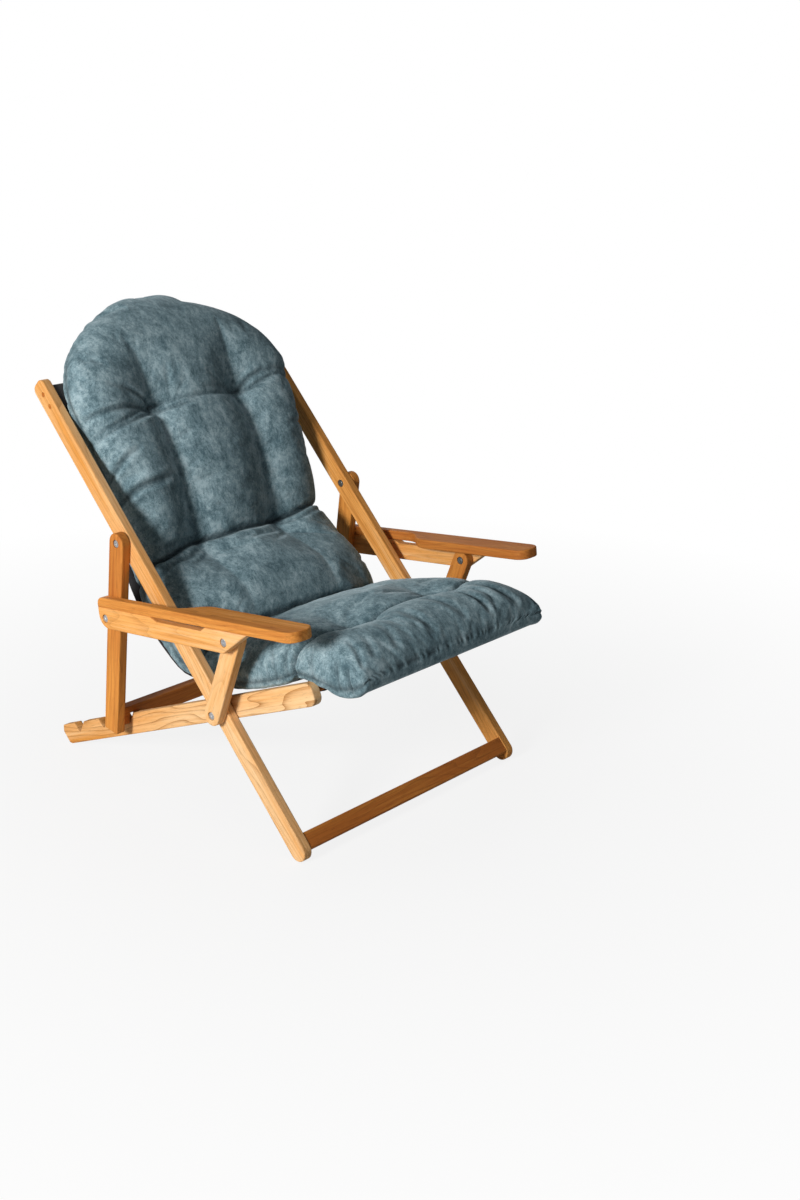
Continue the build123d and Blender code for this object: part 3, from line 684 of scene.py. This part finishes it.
def column_line(side):
    """The sewn channel from the head down over the back and the seat, on one side."""
    return [
        ("rail", 768, side * 119, 0), ("rail", 735, side * 117, 4), ("rail", 695, side * 114, 15),
        ("rail", 642, side * 111, 30), ("rail", 570, side * 111, 25), ("rail", 500, side * 110, 23),
        ("rail", 430, side * 108, 26), ("rail", 374, side * 107, 31), ("rail", 325, side * 109, 15),
        ("rail", 262, side * 112, 8), ("rail", 205, side * 114, 6), ("seat", -40, side * 116, 6),
        ("seat", -150, side * 118, 10), ("seat", -234, side * 119, 27), ("seat", -272, side * 117, 9),
        ("seat", -306, side * 112, 0),
    ]


# The rows sewn across the mattress: (frame, along, across, depth) in mm
high_line = [
    ("rail", 598, -340, 2), ("rail", 606, -285, 6), ("rail", 616, -210, 10), ("rail", 634, -150, 14),
    ("rail", 642, -111, 21), ("rail", 637, -60, 13), ("rail", 634, 0, 11), ("rail", 634, 60, 13),
    ("rail", 642, 111, 21), ("rail", 640, 150, 11), ("rail", 648, 205, 7), ("rail", 650, 290, 5),
    ("rail", 650, 340, 2),
]
low_line = [
    ("rail", 340, -350, 8), ("rail", 346, -300, 15), ("rail", 350, -255, 18), ("rail", 353, -207, 20),
    ("rail", 362, -150, 23), ("rail", 374, -107, 29), ("rail", 366, -60, 23), ("rail", 362, 0, 22),
    ("rail", 365, 60, 23), ("rail", 374, 107, 29), ("rail", 368, 141, 23), ("rail", 376, 222, 19),
    ("rail", 382, 300, 15), ("rail", 384, 350, 8),
]
seat_line = [
    ("seat", -200, -350, 8), ("seat", -206, -305, 15), ("seat", -218, -262, 17), ("seat", -238, -213, 18),
    ("seat", -248, -177, 19), ("seat", -234, -119, 27), ("seat", -241, -60, 19), ("seat", -246, -10, 18),
    ("seat", -250, 57, 19), ("seat", -234, 119, 27), ("seat", -226, 170, 19), ("seat", -216, 230, 16),
    ("seat", -208, 300, 12), ("seat", -206, 350, 6),
]
hip_line = [("rail", 150, across, 12) for across in (-340, -200, 0, 200, 340)]

# Widths in mm of the valleys, and of the wider hollows round them, which have a share of their depth
row_widths = ((high_line, 62), (low_line, 80), (seat_line, 66), (hip_line, 60))
hollow_widths = ((low_line, 170), (high_line, 120))
HOLLOW_SHARE = 0.40
CHANNEL_WIDTH = 80
CHANNEL_HOLLOW_WIDTH = 110
CHANNEL_HOLLOW_SHARE = 0.28

# The tufts on the left, as (frame, along, across) in mm, with a like one on the right
tufts = {
    "seat": ("seat", -234, 119),
    "low": ("rail", 374, 107),
    "high": ("rail", 642, 111),
}
# The depth that a tuft adds, how far round it, and the depth at which the whole levels off
TUFT_DEPTH = 0.017
TUFT_REACH = 0.040
DEEPEST = 0.056


def sewn_depth(along, across):
    """How far the channels, the cross rows and the tufts draw the cloth in."""
    total = np.zeros(along.shape)
    for line, width in row_widths:
        total += line_valley(line, width, lobed, along, across)
    for line, width in hollow_widths:
        total += HOLLOW_SHARE * line_valley(line, width, puffed, along, across)
    for side in (-1, 1):
        channel = column_line(side)
        total += line_valley(channel, CHANNEL_WIDTH, lobed, along, across)
        total += CHANNEL_HOLLOW_SHARE * line_valley(channel, CHANNEL_HOLLOW_WIDTH, puffed, along, across)
        for frame_name, tuft_along, tuft_across in tufts.values():
            away = np.hypot(along - along_at(frame_name, tuft_along), across - side * tuft_across / 1000)
            total += TUFT_DEPTH * lobed(away / TUFT_REACH)
    return DEEPEST * np.tanh(total / DEEPEST)


def cloth_places(x, level, turn, depth, facing):
    """Places of the cloth, moved in by depth square to its section.

    facing is 1 above the seam and -1 below it.
    """
    x_in = middle_row[:, None] + x - column_side * np.sin(turn) * depth
    level_in = level - facing * np.cos(turn) * depth
    y = low_row[:, 0:1] + rise[:, 0:1] * level_in
    z = low_row[:, 1:2] + rise[:, 1:2] * level_in
    return np.stack([x_in, y, z], axis=-1)


# What is sewn fades out towards both ends of the mattress, where it is thin, and low on its sides. It is
# never deep in the underside, and a share of it is left at the sides of the top.
END_FADE = 0.05
FULL_HEIGHT = 0.09
UNDER_FADE = 0.09
UNDER_DEEPEST = 0.02
SIDE_SHARE = 0.75
ends = np.clip(np.minimum(along_grid, run[-1] - along_grid) / END_FADE, 0, 1)
fading = ends * np.clip(height / FULL_HEIGHT, 0, 1)[:, None]
uneven = 0.0015 * hash_noise(along_grid * 11, across_top * 11, 1)
uneven += 0.0008 * hash_noise(along_grid * 27, across_top * 27, 2)
depth_top = (sewn_depth(along_grid, across_top) - uneven) * fading
depth_top *= np.where(np.abs(across_top) > side_reach - 0.02, SIDE_SHARE, 1.0)
depth_under = sewn_depth(along_grid, across_under) * fading * np.clip(1 - past_side / UNDER_FADE, 0, 1)
top_places = cloth_places(x_top, rise_top, turn_top, depth_top, 1)
under_places = cloth_places(x_under, rise_under, turn_under, np.minimum(depth_under, UNDER_DEEPEST), -1)
rim = np.zeros((ROWS, COLUMNS), bool)
rim[[0, -1], :] = True
rim[:, [0, -1]] = True
under_places[rim] = top_places[rim]

shell = bmesh.new()
along_layer = shell.verts.layers.float.new("along")
across_layer = shell.verts.layers.float.new("across")
for places, across_grid in ((top_places, across_top), (under_places, across_under)):
    for row, verts in enumerate(cloth_grid(shell, places)):
        for column, vert in enumerate(verts):
            vert[along_layer] = run[row]
            vert[across_layer] = across_grid[row, column]
bmesh.ops.remove_doubles(shell, verts=shell.verts, dist=1e-6)
bmesh.ops.recalc_face_normals(shell, faces=shell.faces)
mattress = place_object("mattress", shell, cushion_cloth)
mattress_mesh = mattress.data
vert_along = take_layer(mattress_mesh, "along")
vert_across = take_layer(mattress_mesh, "across")
right_reach = np.interp(vert_along, run, side_reach[:, 0])
left_reach = np.interp(vert_along, run, side_reach[:, -1])
rim_reach = np.where(vert_across < 0, right_reach, left_reach)


def inflate(pad, held, cap, last_frame):
    """Fill a pad by a cloth simulation and keep the shape.

    held is how firmly each vertex stays in its place, from 0 to 1, and cap is how far a vertex may move.
    """
    start = read_points(pad.data)
    group = pad.vertex_groups.new(name="held")
    steps = np.round(held, 1)
    for step in np.unique(steps):
        if step > 0:
            group.add(np.flatnonzero(steps == step).tolist(), float(step), "REPLACE")
    cloth = pad.modifiers.new("filling", "CLOTH")
    cloth.settings.quality = 4
    cloth.settings.mass = 0.25
    cloth.settings.tension_stiffness = 9
    cloth.settings.compression_stiffness = 9
    cloth.settings.shear_stiffness = 3
    cloth.settings.bending_stiffness = 0.35
    cloth.settings.use_pressure = True
    cloth.settings.uniform_pressure_force = 4
    cloth.settings.shrink_min = -0.014
    cloth.settings.shrink_max = -0.014
    cloth.settings.effector_weights.gravity = 0
    cloth.settings.vertex_group_mass = "held"
    cloth.collision_settings.use_collision = False
    cloth.point_cache.frame_start = 1
    cloth.point_cache.frame_end = last_frame
    scene = bpy.context.scene
    for frame_number in range(1, last_frame + 1):
        scene.frame_set(frame_number)
    filled = pad.evaluated_get(bpy.context.evaluated_depsgraph_get())
    move = read_points(filled.data) - start
    pad.modifiers.remove(cloth)
    pad.vertex_groups.remove(group)
    scene.frame_set(1)
    size = np.linalg.norm(move, axis=1, keepdims=True)
    write_points(pad.data, start + move * np.minimum(1, cap / np.maximum(size, 1e-9)))


# What stays in place while the filling swells the cloth: the underside, the seams and the deep places
SEAM_HOLD = 0.8
SEAM_HALF = 0.004
UNDERSIDE_FROM = 0.030
HELD_DEPTH = 0.019
underside = np.abs(vert_across) > rim_reach + UNDERSIDE_FROM
side_seam = np.abs(np.abs(vert_across) - rim_reach) < SEAM_HALF
end_seam = (vert_along < SEAM_HALF) | (vert_along > run[-1] - SEAM_HALF)
held = np.clip((sewn_depth(vert_along, vert_across) - HELD_DEPTH) / 0.010, 0, 1)
held = np.maximum(held, np.where(side_seam | end_seam, SEAM_HOLD, 0.0))
held = np.maximum(held, np.where(underside, 1.0, 0.0))
inflate(mattress, held, cap=0.022, last_frame=20)

# Folds that the filling and the stitching leave in the cloth, drawn as pleats over the filled form. Each is
# a line of (frame, along, across, depth) points and its width, in mm.
folds = [
    ([("rail", 640, -122, 6), ("rail", 640, -201, 6), ("rail", 643, -300, 3)], 6),
    ([("rail", 650, -120, 5), ("rail", 668, -165, 5), ("rail", 690, -215, 1)], 6),
    ([("rail", 632, -120, 5), ("rail", 616, -165, 6), ("rail", 608, -215, 5), ("rail", 600, -300, 2)], 7),
    ([("rail", 636, -119, 4), ("rail", 628, -150, 4), ("rail", 626, -185, 1)], 4),
    ([("rail", 554, -206, 2), ("rail", 540, -249, 5), ("rail", 526, -300, 4)], 7),
    ([("rail", 494, -140, 1), ("rail", 490, -162, 5), ("rail", 486, -215, 7), ("rail", 478, -300, 5)], 8),
    ([("rail", 644, 121, 5), ("rail", 655, 160, 4), ("rail", 661, 220, 3), ("rail", 664, 300, 2)], 6),
    ([("rail", 636, 122, 4), ("rail", 634, 160, 3), ("rail", 640, 200, 1)], 5),
    ([("rail", 540, 200, 1), ("rail", 546, 240, 4), ("rail", 552, 300, 4)], 7),
    ([("rail", 646, 100, 3), ("rail", 650, 60, 3), ("rail", 648, 10, 1)], 6),
    ([("rail", 632, -100, 4), ("rail", 626, -60, 4), ("rail", 626, -10, 1)], 7),
    ([("rail", 358, 120, 3), ("rail", 352, 160, 4), ("rail", 358, 215, 4), ("rail", 364, 300, 2)], 6),
    ([("rail", 380, -118, 4), ("rail", 374, -170, 3), ("rail", 368, -230, 2)], 6),
    ([("rail", 352, -120, 3), ("rail", 334, -160, 4), ("rail", 326, -230, 3)], 7),
    ([("rail", 206, 215, 1), ("rail", 216, 250, 3), ("rail", 230, 300, 3)], 7),
    ([("rail", 200, -190, 1), ("rail", 210, -245, 5), ("rail", 224, -300, 4)], 8),
    ([("seat", -224, -129, 4), ("seat", -206, -165, 4), ("seat", -190, -205, 1)], 7),
    ([("seat", -240, -131, 4), ("seat", -262, -165, 3), ("seat", -276, -200, 1)], 7),
    ([("seat", -242, 130, 4), ("seat", -262, 160, 4), ("seat", -278, 190, 1)], 7),
    ([("seat", -190, -255, 1), ("seat", -188, -290, 4), ("seat", -186, -330, 3)], 6),
    ([("seat", -150, -262, 1), ("seat", -156, -295, 3), ("seat", -160, -330, 2)], 7),
    ([("seat", -262, -262, 1), ("seat", -254, -295, 4), ("seat", -250, -330, 3)], 6),
    ([("seat", -338, -278, 3), ("seat", -338, -305, 7), ("seat", -337, -325, 3)], 5),
    ([("seat", -318, -275, 1), ("seat", -314, -305, 5), ("seat", -312, -330, 2)], 6),
    ([("seat", -355, -240, 5), ("seat", -340, -232, 4), ("seat", -318, -228, 1)], 6),
    ([("seat", -356, -206, 4), ("seat", -342, -200, 3), ("seat", -324, -196, 1)], 6),
    ([("seat", -356, -150, 3), ("seat", -334, -143, 2), ("seat", -300, -140, 1)], 8),
    ([("seat", -356, -52, 3), ("seat", -330, -60, 5), ("seat", -300, -72, 1)], 9),
    ([("seat", -352, 40, 2), ("seat", -334, 30, 4), ("seat", -286, 8, 1)], 10),
    ([("seat", -357, 106, 5), ("seat", -330, 98, 6), ("seat", -290, 84, 1)], 8),
    ([("seat", -350, 139, 2), ("seat", -330, 133, 4), ("seat", -306, 127, 1)], 6),
    ([("seat", -357, 172, 5), ("seat", -328, 163, 6), ("seat", -280, 146, 1)], 9),
    ([("seat", -356, 236, 4), ("seat", -338, 231, 3), ("seat", -320, 226, 1)], 6),
]
FOLD_DEPTH_SCALE = 1.15
FOLD_WIDTH_SCALE = 0.8
fold_depth = np.zeros(len(vert_along))
for line, width in folds:
    valley = line_valley(line, FOLD_WIDTH_SCALE * width, pleated, vert_along, vert_across, smooth=4)
    fold_depth += FOLD_DEPTH_SCALE * valley
# How creased the cloth is, up to 0.6, kept as painted shade in the folds of the velour
fold_shade = np.clip(fold_depth / 0.010, 0, 0.6)

# Stitched lines at the bottom of the rows, full where the row is at least 12 mm deep
STITCH_WIDTH = 4.6
STITCH_FULL = 12
stitches = np.zeros(len(vert_along))
for line, deep in ((high_line, 0.0035), (low_line, 0.0105), (seat_line, 0.0105), (hip_line, 0.0100)):
    stitched = [(*point, 1000.0 * min(1, depth / STITCH_FULL)) for *point, depth in line]
    stitch = line_valley(stitched, STITCH_WIDTH, pleated, vert_along, vert_across)
    stitches = np.maximum(stitches, deep * stitch)
fold_depth += stitches

# The seam all round, with small puckers beside it. At the front edge it runs across.
SEAM_WIDTH = 0.0045
SEAM_DEPTH = 0.0042
PUCKER_PLACE = 0.011
PUCKER_WIDTH = 0.008
PUCKER_DEPTH = 0.0008
end_away = np.minimum(vert_along, run[-1] - vert_along)
seam_away = np.minimum(np.abs(np.abs(vert_across) - rim_reach), end_away)
seam = np.exp(-((seam_away / SEAM_WIDTH) ** 2)) * (np.abs(vert_across) < rim_reach + 0.02)
along_seam = np.where(vert_along < 0.03, vert_across, vert_along)
puckers = 0.5 + 0.5 * hash_noise(along_seam * 70, vert_across * 3, 9)
fold_depth += SEAM_DEPTH * seam
fold_depth += PUCKER_DEPTH * puckers * np.exp(-(((seam_away - PUCKER_PLACE) / PUCKER_WIDTH) ** 2))
drawn_in = read_normals(mattress_mesh) * fold_depth[:, None]
write_points(mattress_mesh, read_points(mattress_mesh) - drawn_in)

# Painted shade for the velour: darker in the stitches, folds, the seam and the deepest places
deep_shade = np.clip((sewn_depth(vert_along, vert_across) - 0.037) / 0.035, 0, 0.6)
tucked = np.clip(np.clip(stitches / 0.010, 0, 1) + fold_shade + 0.75 * seam + deep_shade, 0, 1)
painted_shade_layer = mattress_mesh.attributes.new("tucked", "FLOAT", "POINT")
painted_shade_layer.data.foreach_set("value", tucked.astype(np.float32))
smoother = mattress.modifiers.new("smooth", "SUBSURF")
smoother.levels = smoother.render_levels = 1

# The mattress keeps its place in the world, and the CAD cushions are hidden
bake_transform(mattress)
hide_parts("seat_cushion", "back_cushion")

# Covered buttons at the bottom of the tufts
BUTTON_RADIUS = 0.0085
BUTTON_LIFT = 0.001
BUTTON_AREA = 0.012


def cloth_button(shape, frame_name, along, across):
    """A low covered button, lying square to the cloth round it."""
    away = np.hypot(vert_along - along_at(frame_name, along), vert_across - across / 1000)
    near = np.flatnonzero(away < BUTTON_AREA)
    bottom = near[np.argmin(away[near])]
    outward = Vector(read_normals(mattress_mesh)[near].mean(axis=0)).normalized()
    centre = Vector(read_points(mattress_mesh)[bottom]) + outward * BUTTON_LIFT
    turned = outward.to_track_quat("Z", "Y").to_matrix().to_4x4()
    flattened = Matrix.Diagonal((1, 1, 0.5, 1))
    place = Matrix.Translation(centre) @ turned @ flattened
    bmesh.ops.create_uvsphere(shape, u_segments=24, v_segments=12, radius=BUTTON_RADIUS, matrix=place)


button_groups = (
    ("buttons_seat", "seat_frame", "seat_cushion_buttons", ("seat",)),
    ("buttons_low", "back_frame", "back_cushion_buttons", ("low", "high")),
)
for name, body, node, rows in button_groups:
    shape = bmesh.new()
    for row in rows:
        frame_name, along, across = tufts[row]
        for side in (-1, 1):
            cloth_button(shape, frame_name, along, side * across)
    buttons = place_object(name, shape, seam_cloth)
    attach(buttons, body)
    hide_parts(node)

# Sling: one strip of cloth, looped round both crossbars and hanging between them
CLOTH = 0.002
UNDER_MATTRESS = 0.0016
SLING_COLUMNS = 25
SLING_STEP = 0.012
# Half widths at the top hem, between the frames, under the seat and at the seat hem
TOP_HEM, HANG, SEAT_HANG, SEAT_HEM = 0.284, 0.262, 0.246, 0.250
# In mm: the loop's gap round a crossbar, how round its corners are, and for each crossbar its reach along its
# frame and its reach up from it
LOOP_GAP = 1.4
LOOP_ROUND = 2.6
TOP_BAR = ((701, 751), (-8, 12))
SEAT_BAR = ((-249, -211), (2, 22))


def loop_points(frame_name, bar, start, turn):
    """Points round a crossbar, with small rounded corners, from a start corner.

    turn is the way round, 1 or -1.
    """
    (near, far), (bottom, top) = bar
    corners = [
        (near - LOOP_GAP, bottom - LOOP_GAP),
        (far + LOOP_GAP, bottom - LOOP_GAP),
        (far + LOOP_GAP, top + LOOP_GAP),
        (near - LOOP_GAP, top + LOOP_GAP),
    ]
    corners = np.array(corners[::turn])
    corners = np.concatenate([corners[start:], corners[:start]])
    points = []
    for corner, before, after in zip(corners, np.roll(corners, 1, axis=0), np.roll(corners, -1, axis=0)):
        inward = corner + (before - corner) / np.linalg.norm(before - corner) * LOOP_ROUND
        onward = corner + (after - corner) / np.linalg.norm(after - corner) * LOOP_ROUND
        for share in (0.0, 0.5, 1.0):
            bend = 2 * share * (1 - share) * corner
            points.append(point_in[frame_name](*((1 - share) ** 2 * inward + bend + share**2 * onward)))
    return points


hang_rows = np.flatnonzero((run > knots[5]) & (run < knots[HIGH_TUFTS]))[::-4]
hang = [low_row[row] - UNDER_MATTRESS * rise[row] for row in hang_rows]
top_loop = loop_points("rail", TOP_BAR, 1, 1)
seat_loop = loop_points("seat", SEAT_BAR, 2, -1)
path = np.array(top_loop + [rail_point(698.6, -6)] + hang + seat_loop)
reach = np.concatenate([[0], np.cumsum(np.linalg.norm(np.diff(path, axis=0), axis=1))])
hang_from, hang_to = reach[len(top_loop)], reach[len(top_loop) + len(hang)]
strip_run = np.unique(np.concatenate([reach, np.arange(hang_from, hang_to, SLING_STEP)]))
strip_line = np.stack([np.interp(strip_run, reach, path[:, axis]) for axis in (0, 1)], axis=1)
wide_at = [0, hang_from, hang_from + 0.05, hang_to - 0.36, hang_to - 0.20, hang_to]
half_wide = np.interp(strip_run, wide_at, [TOP_HEM, TOP_HEM, HANG, HANG, SEAT_HANG, SEAT_HEM])
strip_places = np.empty((len(strip_run), SLING_COLUMNS, 3))
strip_places[..., 0] = half_wide[:, None] * np.linspace(-1, 1, SLING_COLUMNS)[None, :]
strip_places[..., 1:] = strip_line[:, None, :]
strip = bmesh.new()
cloth_grid(strip, strip_places)
bmesh.ops.recalc_face_normals(strip, faces=strip.faces)
sling = place_object("sling_cloth", strip, sling_cloth)
thick = sling.modifiers.new("cloth", "SOLIDIFY")
thick.thickness = CLOTH
thick.offset = 0
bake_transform(sling)
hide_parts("sling")

# Floor: pale paper that keeps the soft shadow and fades to white away from the chair
FLOOR_HALF = 60
ground = bmesh.new()
bmesh.ops.create_grid(ground, x_segments=1, y_segments=1, size=FLOOR_HALF)
bmesh.ops.translate(ground, vec=(0, 0, -0.0005), verts=ground.verts)
paper = Tree("floor_paper")
paper.shader.inputs["Base Color"].default_value = (0.55, 0.55, 0.55, 1)
paper.shader.inputs["Roughness"].default_value = 0.9
glow = paper.nodes.new("ShaderNodeEmission")
blend_paper = paper.nodes.new("ShaderNodeMixShader")
ray = paper.nodes.new("ShaderNodeLightPath")
distance = paper.nodes.new("ShaderNodeVectorMath")
distance.operation = "LENGTH"
paper.links.new(paper.coords, distance.inputs[0])
whiteness = paper.level(distance.outputs["Value"], 0.5, 1.9, 0.86, 1.0)
paper.set(blend_paper.inputs["Fac"], paper.math("MULTIPLY", ray.outputs["Is Camera Ray"], whiteness))
paper.links.new(paper.shader.outputs[0], blend_paper.inputs[1])
paper.links.new(glow.outputs[0], blend_paper.inputs[2])
paper.links.new(blend_paper.outputs[0], paper.nodes["Material Output"].inputs["Surface"])
floor = place_object("floor", ground, paper.material, smooth=False)
